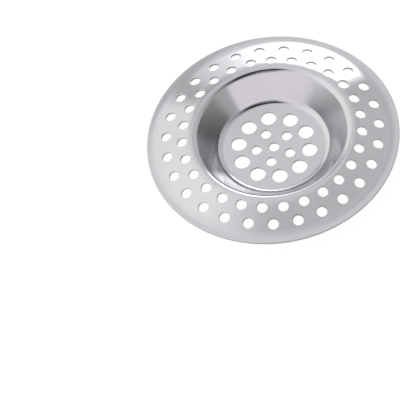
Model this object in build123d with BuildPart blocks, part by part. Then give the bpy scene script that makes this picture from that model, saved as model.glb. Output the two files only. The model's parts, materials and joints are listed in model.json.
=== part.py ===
# Sink strainer: one stainless sheet, drawn into a cup with a sloping flange and pierced with drain holes.
# Millimetres and degrees. Z is up, and the origin is the centre of the cup's underside, on which it stands.
import os
from math import acos, atan2, cos, degrees, hypot, radians, sin, tan

from build123d import *

# Cup: radii are those of the sheet's upper face. Its mouth is measured over the crest, its wall bulges a little
sheet = 0.5
overall_height = 7.9
mouth_diameter = 44.7
mouth_bend_radius = 2.35
wall_bulge_radius = 100.0
floor_flat_diameter = 28.1
floor_bend_radius = 2.4

# Flange: from the crest a wide bend runs out into a cone, which falls outwards and blends into a flat rim band
flange_width = 12.65
flange_slope = 16.7
crest_bend_radius = 8.0
rim_band = 2.1
rim_blend_radius = 10.0

# Drain holes of the flange, square to its slope: two rings, the inner one turned by half a pitch
flange_hole_diameter = 2.9
flange_hole_count = 27
flange_pattern_start = 88.2

# Drain holes of the floor: large ones round small ones, with one more small one in the middle
large_hole_diameter = 4.3
large_hole_count = 10
small_hole_diameter = 2.85
small_hole_count = 5
floor_pattern_start = 90.0

# Solid metal left beside a ring of holes: out to the rim's blend, in to the crest, and out to the floor's bend.
# The ring of small holes lies at a share of the ring of large ones.
outer_ring_land = 0.5
inner_ring_land = 1.15
large_ring_land = 1.95
small_ring_share = 0.5

# Bends of the cup's section, as centres at a radius and a height. The wall between them is a third arc, so
# shallow that its centre lies far below the flange: the triangle of the three centres gives its direction.
mouth_centre = Vector(mouth_diameter / 2, overall_height - mouth_bend_radius)
floor_centre = Vector(floor_flat_diameter / 2, sheet + floor_bend_radius)
between = mouth_centre - floor_centre
to_mouth = hypot(between.X, between.Y)
from_floor = wall_bulge_radius + floor_bend_radius
from_mouth = wall_bulge_radius - mouth_bend_radius
corner = acos((to_mouth**2 + from_floor**2 - from_mouth**2) / (2 * to_mouth * from_floor))
down = atan2(between.Y, between.X) - corner
bulge_centre = floor_centre + Vector(cos(down), sin(down)) * from_floor
foot_slope = 90 + degrees(down)
up = mouth_centre - bulge_centre
top_slope = degrees(atan2(up.Y, up.X)) - 90

# The flange's cone leaves the crest in a wide bend and meets the flat rim band in a blend, which reaches as
# far along each of them
flange_normal = Vector(sin(radians(flange_slope)), cos(radians(flange_slope)))
crest_centre = Vector(mouth_diameter / 2, overall_height - crest_bend_radius)
flange_top = crest_centre + flange_normal * crest_bend_radius
outer_radius = mouth_diameter / 2 + flange_width
band_corner_radius = outer_radius - rim_band
rim_height = flange_top.Y - (band_corner_radius - flange_top.X) * tan(radians(flange_slope))
blend_reach = rim_blend_radius * tan(radians(flange_slope / 2))
blend_centre = Vector(band_corner_radius + blend_reach, rim_height + rim_blend_radius)
flange_foot = blend_centre - flange_normal * rim_blend_radius

# Radii of the rings of holes, to the middle of each hole
outer_ring_radius = flange_foot.X - outer_ring_land - flange_hole_diameter / 2
inner_ring_radius = mouth_diameter / 2 + inner_ring_land + flange_hole_diameter / 2
large_ring_radius = floor_flat_diameter / 2 - large_ring_land - large_hole_diameter / 2
small_ring_radius = large_ring_radius * small_ring_share


def rim_line(depth):
    """The rim band and its blend, at a depth below the sheet's upper face, from the outside in."""
    blend = CenterArc(blend_centre, rim_blend_radius + depth, 270, -flange_slope)
    edge = Line((outer_radius, rim_height - depth), blend @ 0)
    return edge @ 0, blend @ 1


def flange_line(depth):
    """The cone and the wide bend from it up to the crest."""
    cone = Line(flange_foot - flange_normal * depth, flange_top - flange_normal * depth)
    crest = CenterArc(crest_centre, crest_bend_radius - depth, 90 - flange_slope, flange_slope)
    return cone @ 0, crest @ 1


def wall_line(depth):
    """The mouth's bend from the crest, the wall and the bend at the floor, each tangent to the next."""
    mouth = CenterArc(mouth_centre, mouth_bend_radius - depth, 90, top_slope)
    CenterArc(bulge_centre, wall_bulge_radius - depth, 90 + top_slope, foot_slope - top_slope)
    floor = CenterArc(floor_centre, floor_bend_radius + depth, 270 + foot_slope, -foot_slope)
    return mouth @ 0, floor @ 1


def section(line):
    """One stretch of the section: its upper and lower lines, closed square to the sheet at both ends."""
    with BuildSketch(Plane.XZ) as face:
        with BuildLine():
            upper_start, upper_end = line(0)
            lower_start, lower_end = line(sheet)
            Line(upper_start, lower_start)
            Line(upper_end, lower_end)
        make_face()
    return face.sketch


def flange_holes(ring_radius, start_angle):
    """The places of one ring of holes on the flange's upper face, each square to the cone."""
    height = rim_height + (band_corner_radius - ring_radius) * tan(radians(flange_slope))
    places = []
    for hole in range(flange_hole_count):
        angle = start_angle + hole * 360 / flange_hole_count
        outwards = Vector(1, 0, 0).rotate(Axis.Z, angle)
        normal = outwards * flange_normal.X + Vector(0, 0, flange_normal.Y)
        across = Vector(0, 1, 0).rotate(Axis.Z, angle)
        places.append(Plane(outwards * ring_radius + Vector(0, 0, height), x_dir=across, z_dir=normal))
    return places


with BuildPart() as rim:
    revolve(section(rim_line), axis=Axis.Z)

with BuildPart() as flange:
    revolve(section(flange_line), axis=Axis.Z)
    half_pitch = 180 / flange_hole_count
    outer_ring = flange_holes(outer_ring_radius, flange_pattern_start)
    inner_ring = flange_holes(inner_ring_radius, flange_pattern_start + half_pitch)
    with Locations(*outer_ring, *inner_ring):
        Cylinder(flange_hole_diameter / 2, sheet * 4, mode=Mode.SUBTRACT)

with BuildPart() as cup_wall:
    revolve(section(wall_line), axis=Axis.Z)

with BuildPart() as cup_floor:
    with BuildSketch(Plane.XY):
        Circle(floor_flat_diameter / 2)
        Circle(small_hole_diameter / 2, mode=Mode.SUBTRACT)
        with PolarLocations(large_ring_radius, large_hole_count, floor_pattern_start):
            Circle(large_hole_diameter / 2, mode=Mode.SUBTRACT)
        small_start = floor_pattern_start + 180 / large_hole_count
        with PolarLocations(small_ring_radius, small_hole_count, small_start):
            Circle(small_hole_diameter / 2, mode=Mode.SUBTRACT)
    extrude(amount=sheet)

print(f"outside diameter {outer_radius * 2:.2f}, wall slopes {foot_slope:.2f} to {top_slope:.2f} degrees")
print(f"rim height {rim_height:.2f}, flat rim band from radius {blend_centre.X:.2f}")
print(f"ring radii {outer_ring_radius:.2f} {inner_ring_radius:.2f} {large_ring_radius:.2f} {small_ring_radius:.2f}")

os.makedirs("parts", exist_ok=True)
rim.part.label = "rim"
flange.part.label = "flange"
cup_wall.part.label = "cup_wall"
cup_floor.part.label = "cup_floor"
export_step(rim.part, "parts/rim.step")
export_step(flange.part, "parts/flange.step")
export_step(cup_wall.part, "parts/cup_wall.step")
export_step(cup_floor.part, "parts/cup_floor.step")
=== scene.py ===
# %% [markdown]
# # A sink strainer in stainless steel
# A drop-in sink strainer is one disc of thin stainless sheet. A press draws it into a shallow cup with a
# sloping flange, and punches the drain holes. The packed model says where that sheet lies. It is loaded
# first, as a fixed frame, and everything below is worked out in metres in that same frame.

# %% Load the packed model
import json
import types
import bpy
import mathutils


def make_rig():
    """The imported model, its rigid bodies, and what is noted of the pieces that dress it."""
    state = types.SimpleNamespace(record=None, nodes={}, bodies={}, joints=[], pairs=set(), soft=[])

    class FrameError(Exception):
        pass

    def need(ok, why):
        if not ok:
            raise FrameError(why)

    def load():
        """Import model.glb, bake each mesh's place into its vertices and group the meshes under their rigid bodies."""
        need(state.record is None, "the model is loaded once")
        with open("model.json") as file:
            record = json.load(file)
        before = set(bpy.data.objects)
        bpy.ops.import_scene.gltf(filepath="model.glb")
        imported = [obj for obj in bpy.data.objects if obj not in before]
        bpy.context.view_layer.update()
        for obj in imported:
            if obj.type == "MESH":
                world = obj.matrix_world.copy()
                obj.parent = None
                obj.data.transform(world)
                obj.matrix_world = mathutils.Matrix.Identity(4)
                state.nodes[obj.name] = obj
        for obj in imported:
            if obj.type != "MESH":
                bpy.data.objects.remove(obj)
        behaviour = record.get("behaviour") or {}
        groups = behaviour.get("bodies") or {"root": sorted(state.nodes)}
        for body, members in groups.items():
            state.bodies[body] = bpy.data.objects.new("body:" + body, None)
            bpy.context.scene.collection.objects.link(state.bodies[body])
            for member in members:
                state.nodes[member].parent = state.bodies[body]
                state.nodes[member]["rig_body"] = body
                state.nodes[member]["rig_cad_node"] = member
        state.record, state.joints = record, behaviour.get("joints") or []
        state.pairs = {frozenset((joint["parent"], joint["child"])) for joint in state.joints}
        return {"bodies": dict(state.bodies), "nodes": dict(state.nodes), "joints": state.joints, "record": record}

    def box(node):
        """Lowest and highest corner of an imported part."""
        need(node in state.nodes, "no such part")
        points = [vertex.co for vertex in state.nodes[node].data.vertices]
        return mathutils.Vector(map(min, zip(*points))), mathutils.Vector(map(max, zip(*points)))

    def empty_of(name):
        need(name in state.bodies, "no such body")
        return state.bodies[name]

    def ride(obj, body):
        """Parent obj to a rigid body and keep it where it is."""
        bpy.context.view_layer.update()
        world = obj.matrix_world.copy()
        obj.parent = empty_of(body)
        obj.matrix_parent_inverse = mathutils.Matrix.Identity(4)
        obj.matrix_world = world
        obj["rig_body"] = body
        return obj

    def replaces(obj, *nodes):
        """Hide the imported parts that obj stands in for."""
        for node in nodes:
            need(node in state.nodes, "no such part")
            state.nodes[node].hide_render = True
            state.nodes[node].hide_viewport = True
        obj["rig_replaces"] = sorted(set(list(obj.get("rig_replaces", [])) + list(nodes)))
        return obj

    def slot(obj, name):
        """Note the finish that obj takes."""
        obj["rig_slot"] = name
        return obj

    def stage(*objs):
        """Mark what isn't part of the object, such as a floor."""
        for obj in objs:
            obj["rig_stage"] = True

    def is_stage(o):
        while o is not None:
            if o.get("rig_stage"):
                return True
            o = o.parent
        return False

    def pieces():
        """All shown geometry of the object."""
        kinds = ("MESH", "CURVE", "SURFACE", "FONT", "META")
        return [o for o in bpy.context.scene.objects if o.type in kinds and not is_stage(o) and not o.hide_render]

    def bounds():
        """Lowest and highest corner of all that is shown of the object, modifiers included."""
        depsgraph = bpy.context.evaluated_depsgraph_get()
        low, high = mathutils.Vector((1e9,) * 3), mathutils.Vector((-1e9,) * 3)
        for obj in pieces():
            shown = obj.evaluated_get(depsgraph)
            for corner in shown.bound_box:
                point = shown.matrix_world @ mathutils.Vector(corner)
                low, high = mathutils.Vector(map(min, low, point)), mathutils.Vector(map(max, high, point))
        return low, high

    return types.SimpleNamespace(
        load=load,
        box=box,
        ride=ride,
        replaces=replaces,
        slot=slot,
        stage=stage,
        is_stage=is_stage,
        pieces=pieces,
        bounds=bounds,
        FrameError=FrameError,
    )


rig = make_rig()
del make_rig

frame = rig.load()

import json
import math

import bmesh
import bpy
from mathutils import Matrix, Vector

MM = 0.001
cad_box = [list(corner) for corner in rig.bounds()]
print("packed nodes:", sorted(frame["nodes"]))

# %% [markdown]
# ## Sizes of the sheet
# The frame gives the sizes that a box can give: how thick the sheet is, how far out the rim, the crest and
# the cup's floor reach, and how high the crest stands. Bends and slopes have no box of their own, so they
# are named here as a toolmaker would name them, and the holes are named later, where they are punched. Bend
# radii are those of the sheet's upper face.

# %% Read the frame's sizes and name the bends
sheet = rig.box("cup_floor")[1].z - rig.box("cup_floor")[0].z
outer_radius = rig.box("rim")[1].y
floor_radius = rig.box("cup_floor")[1].y
crest_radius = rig.box("cup_wall")[1].y
crest_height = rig.box("cup_wall")[1].z

mouth_bend = 2.35 * MM
wall_bulge = 100 * MM
floor_bend = 2.4 * MM
crest_bend = 8 * MM
flange_slope = math.radians(16.7)
rim_band = 2.1 * MM
rim_blend = 10 * MM
print(f"sheet {sheet / MM:.2f} mm, across {2 * outer_radius / MM:.1f} mm, high {crest_height / MM:.1f} mm")

# %% [markdown]
# ## The section
# Cut through its middle, the sheet is a chain of straight runs and round bends, each tangent to the next.
# Where they meet follows from the bends' centres, as it would on a drawing. The wall of the cup bulges a
# little, so it is a bend as well, with its centre far below: the triangle of the three centres gives its
# direction. A point of the section is a distance from the axis and a height.

# %% Work out where the bends meet the runs
mouth_centre = Vector((crest_radius, crest_height - mouth_bend))
floor_centre = Vector((floor_radius, sheet + floor_bend))
between = mouth_centre - floor_centre
from_floor = wall_bulge + floor_bend
from_mouth = wall_bulge - mouth_bend
cosine = (between.length_squared + from_floor**2 - from_mouth**2) / (2 * between.length * from_floor)
corner = math.acos(cosine)
down = math.atan2(between.y, between.x) - corner
bulge_centre = floor_centre + Vector((math.cos(down), math.sin(down))) * from_floor
to_mouth = mouth_centre - bulge_centre
foot_slope = down + math.pi / 2
top_slope = math.atan2(to_mouth.y, to_mouth.x) - math.pi / 2

crest_centre = Vector((crest_radius, crest_height - crest_bend))
flange_normal = Vector((math.sin(flange_slope), math.cos(flange_slope)))
flange_top = crest_centre + flange_normal * crest_bend
band_corner = outer_radius - rim_band
rim_height = flange_top.y - (band_corner - flange_top.x) * math.tan(flange_slope)
blend_centre = Vector((band_corner + rim_blend * math.tan(flange_slope / 2), rim_height + rim_blend))
flange_foot = blend_centre - flange_normal * rim_blend
down_slope = Vector((math.cos(flange_slope), -math.sin(flange_slope)))
print(f"wall slopes {math.degrees(foot_slope):.1f} to {math.degrees(top_slope):.1f} degrees")
print(f"upper face of the rim {rim_height / MM:.2f} mm up")

# %% [markdown]
# ## The cup, drawn as by hand
# Mouth, wall and the corner of the cup are round and have no holes, so only their section is drawn, to be
# spun about the axis later. It could be a list of points, but strokes keep it smooth by themselves: a first
# point, then runs that extrude it and bends that spin it round a centre. The end of the line stays selected,
# so each stroke carries on from the last. The section begins a little way in on the floor and ends a little
# way out on the flange, so that the bends end there with the right slope.

# %% Draw the cup's section
margin = 0.15 * MM


def new_sheet(name):
    """An empty mesh object, in edit mode."""
    bpy.ops.object.select_all(action="DESELECT")
    bpy.ops.mesh.primitive_plane_add(size=MM)
    made = bpy.context.object
    made.name = name
    bpy.ops.object.mode_set(mode="EDIT")
    bpy.ops.mesh.select_all(action="SELECT")
    bpy.ops.mesh.delete(type="VERT")
    return made


def first_point(x, y, z):
    """One loose vertex, left selected."""
    bpy.ops.mesh.select_all(action="DESELECT")
    bpy.ops.mesh.primitive_plane_add(size=MM, location=(x, y, z))
    bpy.ops.mesh.merge(type="CENTER")


def run(step, pieces):
    """Extrudes what is selected along a vector, in equal pieces."""
    for _ in range(pieces):
        bpy.ops.mesh.extrude_region_move(TRANSFORM_OT_translate={"value": step / pieces})


def bend(centre, turn, pieces):
    """Spins what is selected round a centre of the section. A positive turn bends upwards."""
    bpy.ops.mesh.spin(steps=pieces, angle=turn, center=(centre.x, 0, centre.y), axis=(0, 1, 0))


strainer = new_sheet("strainer")
first_point(floor_radius - 2 * margin, 0, sheet)
run(Vector((2 * margin, 0, 0)), pieces=1)
bend(floor_centre, foot_slope, pieces=14)
bend(bulge_centre, top_slope - foot_slope, pieces=6)
bend(mouth_centre, -top_slope, pieces=16)
bend(crest_centre, -margin / crest_bend, pieces=1)
print("points along the cup's section:", len(bmesh.from_edit_mesh(strainer.data).verts))

# %% [markdown]
# ## The rim, and both sections spun
# The rim's section starts a little way up the flange and runs through the blend to the sheet's edge. Spun in
# one go, the two sections give the plain zones of the sheet, as if turned on a lathe. The flange between them
# is left open for its pierced rings, and so is the floor. There are 12 columns of faces to each hole of the
# flange. A full spin closes on itself and leaves no seam.

# %% Draw the rim's section and spin both
TURN = 2 * math.pi
AXIS = (0, 0, 0)
holes_round_flange = 27
columns_per_hole = 12
columns = holes_round_flange * columns_per_hole

above_foot = flange_foot - down_slope * margin
first_point(above_foot.x, 0, above_foot.y)
run(Vector((down_slope.x, 0, down_slope.y)) * margin, pieces=1)
bend(blend_centre, flange_slope, pieces=5)
run(Vector((outer_radius - blend_centre.x, 0, 0)), pieces=2)

bpy.ops.mesh.select_all(action="SELECT")
bpy.ops.mesh.spin(steps=columns, angle=TURN, center=AXIS, axis=(0, 0, 1))
bpy.ops.object.mode_set(mode="OBJECT")
heights = [v.co.z / MM for v in strainer.data.vertices]
print(f"spun zones: {len(strainer.data.polygons)} faces, {min(heights):.2f} to {max(heights):.2f} mm up")

# %% [markdown]
# ## The holes of the flange
# The real flange has two rings of 27 punched holes, the inner ring turned by half a pitch. Cutting them with
# Boolean cylinders would leave long slivers that shade badly on a curved mirror-like face. So a hole is made
# flat, as a circle with an even collar round it, which later gives the rounding of its edge an even width.
# Seen in plan, a hole on the slope is narrower down the slope than across it, so the flat one is squeezed.
# Operators act on all that is selected, so a step that needs only some vertices picks them by their place.

# %% Place the rings of holes, pick by place and punch
flange_hole_radius = 2.9 * MM / 2
outer_ring_land = 0.5 * MM
inner_ring_land = 1.15 * MM
outer_ring_radius = flange_foot.x - outer_ring_land - flange_hole_radius
inner_ring_radius = crest_radius + inner_ring_land + flange_hole_radius
collar = 0.25 * MM


def pick(test):
    """Selects the vertices of the mesh being edited whose place passes the test, and counts them."""
    bpy.ops.mesh.select_mode(type="VERT")
    bpy.ops.mesh.select_all(action="DESELECT")
    mesh = bmesh.from_edit_mesh(bpy.context.object.data)
    for vertex in mesh.verts:
        vertex.select_set(test(vertex.co))
    mesh.select_flush(True)
    bmesh.update_edit_mesh(bpy.context.object.data)
    return sum(vertex.select for vertex in mesh.verts)


def punch(x, y, z, radius, corners, squeeze=1.0):
    """A hole's edge with an even collar round it. Squeeze is how narrow it is along X."""
    bpy.ops.mesh.select_all(action="DESELECT")
    bpy.ops.mesh.primitive_circle_add(vertices=corners, radius=radius, location=(x, y, z))
    bpy.ops.transform.resize(value=(squeeze, 1, 1), center_override=(x, y, z))
    bpy.ops.mesh.extrude_edges_move()
    wider = (radius + collar) / radius
    bpy.ops.transform.resize(value=(wider, wider, 1), center_override=(x, y, z))


print(f"rings of holes {inner_ring_radius / MM:.2f} and {outer_ring_radius / MM:.2f} mm from the axis")

# %% [markdown]
# ## The pierced rings
# One cell of a ring is modelled flat: its outline, a punched hole in its middle, and a bridge of quads from
# the collar to the outline, which has as many corners as the hole. The cell is copied round the axis, and
# the vertices that two neighbours share are merged. The inner ring is then turned, so that its holes lie
# between those of the outer one.

# %% Make both pierced rings
MERGE = 0.002 * MM
rows = 8
between_rings = (outer_ring_radius + inner_ring_radius) / 2
beside_crest = crest_radius + crest_bend * math.sin(margin / crest_bend)


def pierced_ring(name, inner, outer, ring_radius):
    """A flat ring of cells between two radii, each with one hole, in edit mode with all selected."""
    made = new_sheet(name)
    pitch = TURN / holes_round_flange
    side = Vector((math.cos(pitch / 2), math.sin(pitch / 2), 0))
    first_point(*(side * inner))
    run(side * (outer - inner), rows)
    bpy.ops.mesh.select_all(action="SELECT")
    bpy.ops.mesh.spin(steps=columns_per_hole, angle=pitch, center=AXIS, axis=(0, 0, 1))
    bpy.ops.mesh.select_all(action="SELECT")
    bpy.ops.mesh.dissolve_faces()
    bpy.ops.mesh.delete(type="ONLY_FACE")

    squeeze = math.cos(flange_slope)
    corners = 2 * (columns_per_hole + rows)
    punch(ring_radius, 0, 0, flange_hole_radius, corners, squeeze)
    middle_of_collar = flange_hole_radius + collar / 2
    pick(lambda at: math.hypot((at.x - ring_radius) / squeeze, at.y) > middle_of_collar)
    bpy.ops.mesh.bridge_edge_loops(number_cuts=2, interpolation="LINEAR")

    bpy.ops.mesh.select_all(action="SELECT")
    copies = holes_round_flange - 1
    bpy.ops.mesh.spin(steps=copies, angle=copies * pitch, center=AXIS, axis=(0, 0, 1), dupli=True)
    bpy.ops.mesh.select_all(action="SELECT")
    bpy.ops.mesh.remove_doubles(threshold=MERGE)
    print(name, "has", len(bmesh.from_edit_mesh(made.data).faces), "faces")
    return made


outer_holes = pierced_ring("outer_holes", between_rings, above_foot.x, outer_ring_radius)
bpy.ops.object.mode_set(mode="OBJECT")
inner_holes = pierced_ring("inner_holes", beside_crest, between_rings, inner_ring_radius)
bpy.ops.transform.rotate(value=TURN / holes_round_flange / 2, orient_axis="Z", center_override=AXIS)
bpy.ops.object.mode_set(mode="OBJECT")

# %% [markdown]
# ## Pressing the rings to shape
# The press forms the flange between a punch and a die. Here the die is a very fine spun surface, which falls
# from the crest in a wide bend and goes on as a cone. The flat rings lie below it, and the Shrinkwrap
# modifier lifts them straight up onto it. Every corner of the mesh then lies on one clean surface, however
# the faces run round the holes.

# %% Press the rings with Shrinkwrap
spare = 1 * MM
die = new_sheet("die")
first_point(crest_radius, 0, crest_height)
bend(crest_centre, -flange_slope, pieces=24)
run(Vector((down_slope.x, 0, down_slope.y)) * ((flange_foot - flange_top).length + spare), pieces=1)
bpy.ops.mesh.select_all(action="SELECT")
bpy.ops.mesh.spin(steps=4 * columns, angle=TURN, center=AXIS, axis=(0, 0, 1))
bpy.ops.object.mode_set(mode="OBJECT")
for ring in [outer_holes, inner_holes]:
    bpy.context.view_layer.objects.active = ring
    wrap = ring.modifiers.new("press", "SHRINKWRAP")
    wrap.target = die
    wrap.wrap_method = "PROJECT"
    wrap.use_project_z = True
    bpy.ops.object.modifier_apply(modifier=wrap.name)
    heights = [v.co.z / MM for v in ring.data.vertices]
    print(ring.name, f"pressed to heights {min(heights):.3f} to {max(heights):.3f} mm")
bpy.data.objects.remove(die)

# %% [markdown]
# ## One sheet
# The rings and the spun zones are joined, and vertices that lie on each other are merged. The flange's
# pattern is turned to its own start angle. With no window open the rotate operator turns the other way, so
# the angle is negative here. To show that it came out right, the edge of the hole that should lie at the
# start angle is looked up, and the angle of its middle is printed.

# %% Join the zones and turn the flange's pattern
flange_pattern_start = math.radians(88.2)
first_hole = Vector((math.cos(flange_pattern_start), math.sin(flange_pattern_start))) * outer_ring_radius


def near_first_hole(at):
    """Whether a point is within one and a half radii of the outer ring's first hole."""
    return (at.xy - first_hole).length < 1.5 * flange_hole_radius


bpy.ops.object.select_all(action="DESELECT")
for part in [strainer, outer_holes, inner_holes]:
    part.select_set(True)
bpy.context.view_layer.objects.active = strainer
bpy.ops.object.join()
bpy.ops.object.mode_set(mode="EDIT")
bpy.ops.mesh.select_all(action="SELECT")
bpy.ops.mesh.remove_doubles(threshold=MERGE)
bpy.ops.transform.rotate(value=-flange_pattern_start, orient_axis="Z", center_override=AXIS)

mesh = bmesh.from_edit_mesh(strainer.data)
loose = [edge for edge in mesh.edges if edge.is_boundary]
middle = sum((edge.verts[0].co for edge in loose if near_first_hole(edge.verts[0].co)), Vector())
print(len(mesh.verts), "vertices,", len(loose), "open edges")
print(f"a hole of the outer ring lies at {math.degrees(math.atan2(middle.y, middle.x)):.1f} degrees")

# %% [markdown]
# ## The pierced floor
# The cup's floor is flat, so any faces shade well there. Ten large holes stand round five small ones and one
# more in the middle. They are punched as circles with the same even collar, and Fill then closes the sheet
# between the collars and the corner of the cup.

# %% Place the floor's holes
large_hole_radius = 4.3 * MM / 2
small_hole_radius = 2.85 * MM / 2
hole_corners = {large_hole_radius: 56, small_hole_radius: 40}
large_hole_count = 10
small_hole_count = 5
large_ring_land = 1.95 * MM
large_ring_radius = floor_radius - large_ring_land - large_hole_radius
small_ring_radius = large_ring_radius / 2
floor_pattern_start = math.radians(90)
half_pitch = TURN / (2 * large_hole_count)


def floor_ring(count, start, ring_radius, hole_radius):
    """The places of one ring of holes on the floor, each with the radius of its hole."""
    turns = [start + number * TURN / count for number in range(count)]
    return [(ring_radius * math.cos(turn), ring_radius * math.sin(turn), hole_radius) for turn in turns]


floor_holes = [(0, 0, small_hole_radius)]
floor_holes += floor_ring(large_hole_count, floor_pattern_start, large_ring_radius, large_hole_radius)
floor_holes += floor_ring(small_hole_count, floor_pattern_start + half_pitch, small_ring_radius,
                          small_hole_radius)
print(len(floor_holes), "holes in the floor")


# %% Punch the floor and fill round the holes
def on_the_floor_outline(at):
    """Whether a point is on the inner edge of the spun zones, or on the outer loop of a collar."""
    if math.hypot(at.x, at.y) > floor_radius - margin or abs(at.z - sheet) > MERGE:
        return False
    return all(math.hypot(at.x - x, at.y - y) > radius + collar / 2 for x, y, radius in floor_holes)


for x, y, hole_radius in floor_holes:
    punch(x, y, sheet, hole_radius, hole_corners[hole_radius])
print(pick(on_the_floor_outline), "vertices round the floor")
bpy.ops.mesh.fill(use_beauty=True)
print(len(bmesh.from_edit_mesh(strainer.data).faces), "faces, with the floor filled")

# %% [markdown]
# ## The right side up
# Spinning and filling leave some faces upside down. They are made to agree with each other while the sheet
# is still one open surface, and then the face nearest the origin, in the middle of the floor, says whether
# all of them have to be turned over. Solidify needs this, since it puts the thickness behind the faces.

# %% Turn all faces up
bpy.ops.mesh.select_all(action="SELECT")
bpy.ops.mesh.normals_make_consistent(inside=False)
mesh = bmesh.from_edit_mesh(strainer.data)
mesh.normal_update()
if min(mesh.faces, key=lambda face: face.calc_center_median().length).normal.z < 0:
    bpy.ops.mesh.flip_normals()
bpy.ops.object.mode_set(mode="OBJECT")
leans = [face.normal.z for face in strainer.data.polygons]
print(f"upward parts of the faces' normals: {min(leans):.2f} to {max(leans):.2f}")

# %% [markdown]
# ## Thickness
# Solidify gives the sheet its real thickness below the upper face. It sets the cut edges square to the
# sheet, as a punch does, and gives them the second material slot, since a sheared edge is duller. That
# material is also coloured darker than steel, as painted shade inside the holes.

# %% Give the sheet its thickness
def new_material(name):
    """A material with its nodes turned on."""
    made = bpy.data.materials.new(name)
    made.use_nodes = True
    return made


thick = strainer.modifiers.new("gauge", "SOLIDIFY")
thick.thickness = sheet
thick.offset = -1
thick.use_even_offset = True
thick.material_offset_rim = 1
for name in ["steel_sheet", "sheared_edge_and_painted_shade"]:
    strainer.data.materials.append(new_material(name))
bpy.context.view_layer.objects.active = strainer
bpy.ops.object.modifier_apply(modifier=thick.name)
lowest = min(v.co.z for v in strainer.data.vertices)
print(f"thick sheet: {len(strainer.data.polygons)} faces, lowest point {lowest / MM:.3f} mm")

# %% [markdown]
# ## Rolled and deburred edges
# A punch drags the upper face down a little before it cuts, so each hole has a small roll-over on top, and
# tumbling takes the burr off below. Both show as fine bright and dark lines. The bevel also sets face
# strengths, which the weighted normals of the next step use. On the sloping flange the steepest faces of a
# roll-over lean a little past upright, so only a face that points well down counts as part of the underside.

# %% Round the edges
roll_over = 0.13 * MM
deburr = 0.04 * MM
well_down = -0.5
smooth_below = math.radians(50)


def pick_cut_edges(upper):
    """Selects the edges between the cut and the upper face, or the underside, and counts them."""
    bpy.ops.mesh.select_mode(type="EDGE")
    bpy.ops.mesh.select_all(action="DESELECT")
    mesh = bmesh.from_edit_mesh(strainer.data)
    for edge in mesh.edges:
        cut = [face.material_index == 1 for face in edge.link_faces]
        beside = [face.normal.z > well_down for face in edge.link_faces if face.material_index == 0]
        edge.select_set(sorted(cut) == [False, True] and beside == [upper])
    mesh.select_flush_mode()
    bmesh.update_edit_mesh(strainer.data)
    return sum(edge.select for edge in mesh.edges)


bpy.ops.object.mode_set(mode="EDIT")
print(pick_cut_edges(upper=True), "upper edges")
bpy.ops.mesh.bevel(offset=roll_over, segments=3, profile=0.5, material=0, face_strength_mode="AFFECTED")
print(pick_cut_edges(upper=False), "lower edges")
bpy.ops.mesh.bevel(offset=deburr, segments=1, material=1, face_strength_mode="AFFECTED")
bpy.ops.object.mode_set(mode="OBJECT")
bpy.ops.object.shade_smooth_by_angle(angle=smooth_below)
print("rounded sheet:", len(strainer.data.polygons), "faces")

# %% [markdown]
# ## Normals
# Weighted normals let the large faces set the shading. With the face strengths from the bevel, only the
# rounding itself turns, so the reflections run undisturbed up to the edge of every hole.

# %% Weigh the normals
weigh = strainer.modifiers.new("weigh", "WEIGHTED_NORMAL")
weigh.use_face_influence = True
weigh.keep_sharp = True
bpy.ops.object.modifier_apply(modifier=weigh.name)
reach = max(v.co.xy.length for v in strainer.data.vertices)
print(f"the sheet reaches {reach / MM:.2f} mm out")

# %% [markdown]
# ## Its place in the packed model
# The strainer has one body and no joints. The finished sheet rides on that body, stands in for all four
# packed nodes, which are zones of the one sheet, and takes over their material slot.

# %% Say what the sheet stands for
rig.ride(strainer, "root")
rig.replaces(strainer, "rim", "flange", "cup_wall", "cup_floor")
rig.slot(strainer, "stainless_sheet")
print(strainer.name, "stands in for", len(frame["nodes"]), "packed nodes")

# %% [markdown]
# ## Writing shader maths as Python
# A node tree is easier to read as a formula. Wire wraps one output socket. Sums, differences, products and
# quotients of wires add Math nodes by themselves, also when a plain number comes first, as in 1 - mask. Any
# other node comes from node(), which is told its type, its settings, which are set first, and what feeds its
# sockets. A tree's first wire is a texture coordinate.

# %% Greys, sockets and ramps
def grey(level, red=1.0, green=1.0, blue=1.0):
    """A grey of one level as a colour, with factors that tint its red, green and blue."""
    return (level * red, level * green, level * blue, 1)


def feed(node, sockets):
    """Gives each named socket of a node its value, or a link from its wire."""
    for name, value in sockets.items():
        if isinstance(value, Wire):
            node.id_data.links.new(value.socket, node.inputs[name])
        else:
            node.inputs[name].default_value = value


def set_stops(ramp, stops):
    """Gives a colour ramp its stops, each a position from 0 to 1 and a level of grey."""
    while len(ramp.elements) < len(stops):
        ramp.elements.new(1.0)
    for element, (position, level) in zip(ramp.elements, stops):
        element.position = position
        element.color = grey(level)


print("half a grey, a little warm:", grey(0.5, blue=0.96))


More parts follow.
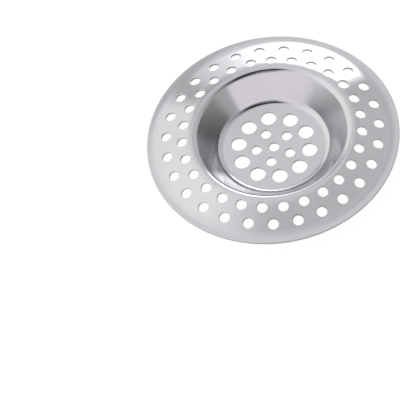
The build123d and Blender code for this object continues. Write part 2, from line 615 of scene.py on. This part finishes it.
# %% A wire and its operators
class Wire:
    """An output socket that can be used in a sum."""

    def __init__(self, socket):
        self.socket = socket

    def node(self, kind, settings, sockets, out=0):
        """Adds a node to this wire's tree and returns one of its outputs as a wire."""
        made = self.socket.id_data.nodes.new("ShaderNode" + kind)
        for name, value in settings.items():
            if name == "stops":
                set_stops(made.color_ramp, value)
            else:
                setattr(made, name, value)
        feed(made, sockets)
        return Wire(made.outputs[out])

    def math(self, operation, *others):
        """A Math node that works on this wire and on the other wires or numbers."""
        values = dict(enumerate((self, *others)))
        return self.node("Math", {"operation": operation}, values)

    def __add__(self, other):
        return self.math("ADD", other)

    def __sub__(self, other):
        return self.math("SUBTRACT", other)

    def __rsub__(self, other):
        return self.math("MULTIPLY_ADD", -1.0, other)

    def __mul__(self, other):
        return self.math("MULTIPLY", other)

    def __truediv__(self, other):
        return self.math("DIVIDE", other)

    __radd__ = __add__
    __rmul__ = __mul__

    def ease(self, low, high):
        """0 below low, 1 above high and a smooth step between."""
        limits = {"From Min": low, "From Max": high}
        return self.node("MapRange", {"interpolation_type": "SMOOTHSTEP"}, {"Value": self, **limits})

    def mix(self, first, second):
        """The first colour where this wire is 0 and the second where it is 1."""
        return self.node("Mix", {"data_type": "RGBA"}, {"Factor": self, 6: first, 7: second}, out=2)

    def dim(self, share):
        """This colour at a share of its brightness."""
        return self.node("VectorMath", {"operation": "SCALE"}, {0: self, "Scale": share})

    def split(self):
        """The three parts of this vector, each as a wire."""
        parts = self.node("SeparateXYZ", {}, {0: self}).socket.node
        return [Wire(part) for part in parts.outputs]


print("methods of a wire:", [name for name in vars(Wire) if not name.startswith("_")])

# %% [markdown]
# ## The sheet's finish
# Strainers are pressed from bright annealed sheet and polished on a turning wheel, which leaves a soft satin
# mirror. The polish lines run round the axis, so reflections smear along the section: the shader's
# anisotropy does that, turned by a quarter. The rolling grain of the sheet crosses the whole blank as very
# fine streaks, which with a haze of dull patches only change the gloss and the tone a little. The wall of
# the cup was drawn over the die's edge and is a little rougher. The tint at grazing angles is kept below
# white, as on real steel with its thin oxide. It is all procedural, on Object coordinates. The sheared edges
# are dull all over. Their dark base colour is partly their own and partly painted shade inside the holes.

# %% Find the grain, the haze and the drawn wall
def coordinate(tree, name):
    """The first wire of a node tree: one of its texture coordinates."""
    return Wire(tree.nodes.new("ShaderNodeTexCoord").outputs[name])


def within(value, low, high, soft_low, soft_high):
    """1 between two bounds and 0 outside them, with a soft edge at each."""
    above = value.ease(low - soft_low, low + soft_low)
    return above * (1 - value.ease(high - soft_high, high + soft_high))


sheet_steel, sheared_steel_and_painted_shade = strainer.data.materials
place = coordinate(sheet_steel.node_tree, "Object")
streaks_in_metre = (120, 9000, 120)
patches_in_metre = 260.0
grain_place = place.node("Mapping", {}, {"Vector": place, "Scale": streaks_in_metre})
grain = place.node("TexNoise", {}, {"Vector": grain_place, "Scale": 1.0, "Detail": 3.0})
haze = place.node("TexNoise", {}, {"Vector": place, "Scale": patches_in_metre, "Detail": 2.0})
plan = place.node("Mapping", {}, {"Vector": place, "Scale": (1 / MM, 1 / MM, 0)})
millimetres_out = plan.node("VectorMath", {"operation": "LENGTH"}, {0: plan}, out="Value")
drawn = within(millimetres_out, 15.75, 21, 0.75, 0.5)
print(sheet_steel.name, "has", len(sheet_steel.node_tree.nodes), "nodes so far")


# %% Bright sheet and sheared edges
def dress(material, finish):
    """Gives a material's shader its finish, as values or wires."""
    feed(material.node_tree.nodes["Principled BSDF"], finish)


gloss = 0.07 + grain * 0.03 + haze * 0.03 + drawn * 0.07
mottle = (grain * 0.6 + haze * 0.4).ease(0.3, 0.7)
cool = {"green": 0.99, "blue": 1.035}
tone = mottle.mix(grey(0.59, **cool), grey(0.61, **cool))
dress(sheet_steel, {
    "Metallic": 1.0, "Base Color": tone, "Roughness": gloss, "Specular Tint": grey(0.85),
    "Anisotropic": 0.8, "Anisotropic Rotation": 0.25})
# The sheared edges' dark base colour is partly their dull cut and partly painted shade inside the holes.
dress(sheared_steel_and_painted_shade, {"Metallic": 1.0, "Base Color": grey(0.26), "Roughness": 0.45})
print("materials:", [material.name for material in strainer.data.materials])

# %% [markdown]
# ## The studio
# Bright metal shows only what is round it, so the surroundings matter more than any lamp. They are painted
# on the world by direction: azimuth 0 lies behind the strainer, positive to the right, and elevation is the
# height above the horizon, both in degrees. A white tent stands all round, brightest on the left. Its
# brightness is listed at some azimuths, and a colour ramp blends between them. It turns to an even grey
# overhead, grows dim near the floor, and its left side is lit a little warmer.

# %% Paint the tent
studio = bpy.data.worlds.new("studio")
bpy.context.scene.world = studio
studio.use_nodes = True
sky = coordinate(studio.node_tree, "Generated")
east, north, up = sky.split()
degrees_in_radian = 180 / math.pi
azimuth = east.math("ARCTAN2", north) * degrees_in_radian
elevation = up.math("ARCSINE") * degrees_in_radian

round_the_horizon = [
    (-180, 0.70), (-130, 0.62), (-110, 0.80), (-90, 0.94), (-60, 0.97), (-45, 0.95), (-35, 0.92),
    (-22, 0.89), (-14, 0.83), (-9, 0.78), (0, 0.75), (12, 0.71), (22, 0.60), (30, 0.54), (40, 0.60),
    (60, 0.58), (85, 0.48), (105, 0.40), (130, 0.48), (180, 0.70)]
stops = [((angle + 180) / 360, level) for angle, level in round_the_horizon]
tent = sky.node("ValToRGB", {"stops": stops}, {"Fac": (azimuth + 180) / 360})
tent = elevation.ease(60, 86).mix(tent, grey(0.63))
tent = elevation.ease(-4, 10).mix(tent.dim(0.3), tent)
warm_side = within(azimuth, -72.5, -23, 12.5, 5) * (1 - elevation.ease(60, 72))
warm_light = grey(1.0, red=0.99, blue=0.957)
tent = tent.node("Mix", {"data_type": "RGBA", "blend_type": "MULTIPLY"},
                 {"Factor": warm_side, 6: tent, 7: warm_light}, out=2)
print(f"tent painted from {len(stops)} levels round the horizon")

# %% [markdown]
# ## Cards
# Cards stand in front of the tent. A card covers a range of azimuths and of elevations, with edges that are
# sharp or soft, upright or slanting. A window behind gives the white on the far flange: it is brightest to
# the right, and all four of its edges slant. A grey upright leans beside it on the left. Low cards at both
# sides are dark, which gives the side walls of the cup their shade. A low pinkish card in front shows on the
# far wall, and its top edge slants too. It lies across azimuth 180, so azimuths are counted on to 360 for it.

# %% Stand the cards round the strainer
leaning = azimuth - (elevation - 25) * 0.55
upright = within(leaning, -23, -13, 4, 4) * within(elevation, 17, 52.5, 5, 1.5)
tent = upright.mix(tent, grey(0.51))

left_edge = azimuth - (elevation - 20) * 0.9
right_edge = azimuth + (elevation - 29) * 0.6
top_edge = elevation + azimuth * 0.3
foot_edge = elevation - azimuth * 0.3
window = left_edge.ease(-14, 1) * (1 - right_edge.ease(21, 29.5))
window = window * foot_edge.ease(9, 13) * (1 - top_edge.ease(34, 46))
daylight = azimuth.ease(-8, 17).mix(grey(1.15), grey(2.6))
tent = window.mix(tent, daylight)

low_sides = within(azimuth.math("ABSOLUTE"), 62, 114, 8, 8) * (1 - elevation.ease(8, 24))
side_shade = east.ease(-1, 1).mix(grey(0.38, green=0.955, blue=0.96), grey(0.13))
tent = low_sides.mix(tent, side_shade)

counted_on = azimuth.math("FLOORED_MODULO", 360.0)
slanting = elevation - (counted_on - 180) * 0.2
low_card = within(counted_on, 133, 245, 4, 12) * (1 - slanting.ease(44, 48))
tent = low_card.mix(tent, grey(0.86, green=0.957, blue=0.97))
print("studio has", len(studio.node_tree.nodes), "nodes")

# %% [markdown]
# ## The camera's gap
# Above the low card the camera and its stand leave a dark gap, up to just in front of the zenith, which draws
# the dark lines along both far bends. The gap is drawn in plan, by how far a direction leans east and north,
# since azimuths crowd together overhead. It is darkest between the camera and the zenith, and at the foot of
# the stand, which darkens the left wall of the cup.

# %% Cut the gap and light the world
gap = within(east, -0.25, 0.66, 0.09, 0.20) * (1 - north.ease(-0.08, 0.01)) * elevation.ease(41, 45)
shade = within(east, 0.025, 0.465, 0.125, 0.085).mix(grey(0.32), grey(0.20))
stand = within(east, 0.12, 0.42, 0.06, 0.06) * within(north, -0.54, -0.36, 0.05, 0.05)
shade = stand.mix(shade, grey(0.08))
overhead = within(north, -0.38, -0.06, 0.05, 0.03) * (1 - east.ease(0.2, 0.5))
shade = overhead.mix(shade, grey(0.005))
tent = gap.mix(tent, shade)
feed(studio.node_tree.nodes["Background"], {"Color": tent, "Strength": 1.26})
print("with the gap it has", len(studio.node_tree.nodes), "nodes")

# %% [markdown]
# ## The table
# The strainer stands on a pale, evenly lit table, which shows pure white through the holes. Nearly all of
# that white is its own soft glow, as on a light table, so the strainer casts hardly any shade on it.

# %% Lay the table
table_size = 6000 * MM
bpy.ops.object.select_all(action="DESELECT")
bpy.ops.mesh.primitive_plane_add(size=table_size)
table = bpy.context.object
table.name = "table"
white = new_material("table_white")
table.data.materials.append(white)
dress(white, {
    "Base Color": grey(0.12), "Roughness": 1.0, "Specular IOR Level": 0.0,
    "Emission Color": grey(1.0), "Emission Strength": 0.93})
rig.stage(table)
print(f"table {table.dimensions.x:.0f} m wide")

# %% [markdown]
# ## The camera
# The camera stands far off with a long lens, looks down at 54 degrees and is rolled a little. It is aimed so
# that the middle of the rim lands on its own pixel of the 400 by 400 picture. The focal length is given in
# pixels of that picture, and a sensor of any width then gives the same view.

# %% Fit the lens
picture = 400
lens_pixels = 2955.55

camera_data = bpy.data.cameras.new("camera")
camera_data.sensor_width = 36
camera_data.lens = lens_pixels * camera_data.sensor_width / picture
camera_data.clip_start = 10 * MM
camera = bpy.data.objects.new("camera", camera_data)
bpy.context.scene.collection.objects.link(camera)
bpy.context.scene.camera = camera
print(f"lens of {camera_data.lens:.0f} mm")

# %% Aim the camera
camera_elevation = math.radians(54.11)
camera_azimuth = math.radians(-1.38)
camera_roll = math.radians(-9.38)
camera_distance = 815.73 * MM
rim_pixel = Vector((272.71, 137.74))
target = Vector((0, 0, rim_height - sheet / 2))

camera_back = Vector((math.sin(camera_azimuth) * math.cos(camera_elevation),
                      -math.cos(camera_azimuth) * math.cos(camera_elevation), math.sin(camera_elevation)))
level_right = Vector((math.cos(camera_azimuth), math.sin(camera_azimuth), 0))
level_up = camera_back.cross(level_right)
camera_right = level_right * math.cos(camera_roll) + level_up * math.sin(camera_roll)
camera_up = level_up * math.cos(camera_roll) - level_right * math.sin(camera_roll)
sight = Vector((rim_pixel.x - picture / 2, picture / 2 - rim_pixel.y, -lens_pixels)).normalized()
pan = Vector((0, 0, -1)).rotation_difference(sight).to_matrix()
turned = (pan @ Matrix((camera_right, camera_up, camera_back))).transposed()
camera.matrix_world = Matrix.Translation(target + camera_back * camera_distance) @ turned.to_4x4()
bpy.context.scene.view_settings.view_transform = "Standard"
print("camera at", [round(value, 3) for value in camera.location])

# %% [markdown]
# ## Write both boxes
# The boxes of the packed and of the dressed strainer are written side by side.

# %% Write both boxes and finish
visual_box = [list(corner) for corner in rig.bounds()]
json.dump({"cad": cad_box, "visual": visual_box}, open("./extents.json", "w"))
print(open("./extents.json").read())
